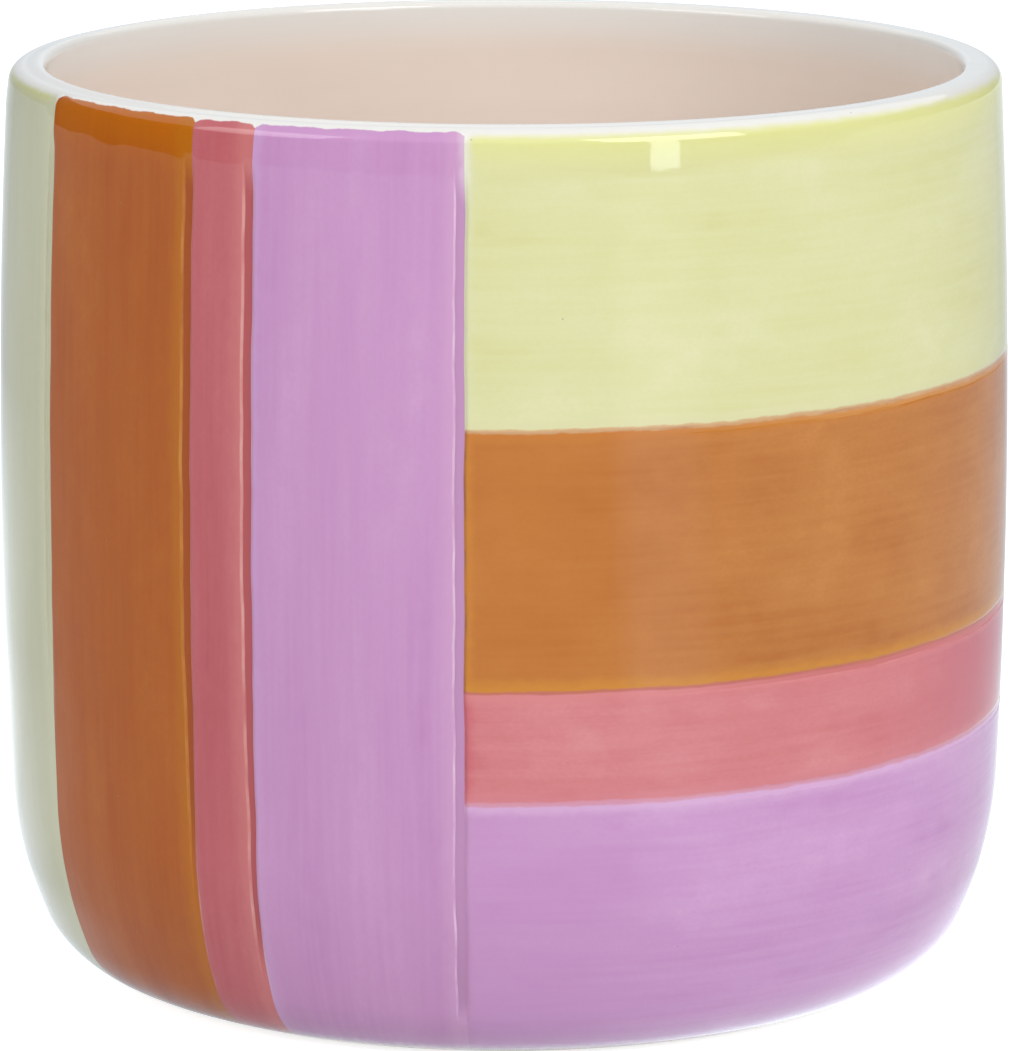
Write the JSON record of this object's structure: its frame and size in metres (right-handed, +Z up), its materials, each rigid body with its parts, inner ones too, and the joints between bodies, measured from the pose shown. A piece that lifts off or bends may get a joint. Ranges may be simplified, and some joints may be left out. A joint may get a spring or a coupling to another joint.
{
  "type": "cachepot",
  "caption": "Glazed ceramic cachepot, nearly cylindrical with bowed sides and a rounded lower edge, painted in blocks of upright and level stripes, for holding a nursery pot",
  "frame": {"origin": "middle of the base, on the ground that the pot stands on", "axes": "+Z up along the pot's axis; -Y faces the front, where the upright block of stripes on the -X side meets the level block on the +X side"},
  "size_m": [0.14, 0.14, 0.126],
  "materials": {
    "clay": "unglazed, matt",
    "blush_glaze": "gloss",
    "white_glaze": "gloss",
    "yellow_glaze": "gloss",
    "orange_glaze": "gloss",
    "pink_glaze": "gloss",
    "lilac_glaze": "gloss"
  },
  "bodies": {
    "root": {"clay_body": "clay", "liner_glaze": "blush_glaze", "rim_glaze": "white_glaze", "base_glaze": "white_glaze", "front_upright_yellow": "yellow_glaze", "front_upright_orange": "orange_glaze", "front_upright_pink": "pink_glaze", "front_upright_lilac": "lilac_glaze", "front_level_yellow": "yellow_glaze", "front_level_orange": "orange_glaze", "front_level_pink": "pink_glaze", "front_level_lilac": "lilac_glaze", "back_upright_yellow": "yellow_glaze", "back_upright_orange": "orange_glaze", "back_upright_pink": "pink_glaze", "back_upright_lilac": "lilac_glaze", "back_level_yellow": "yellow_glaze", "back_level_orange": "orange_glaze", "back_level_pink": "pink_glaze", "back_level_lilac": "lilac_glaze"}
  },
  "joints": []
}
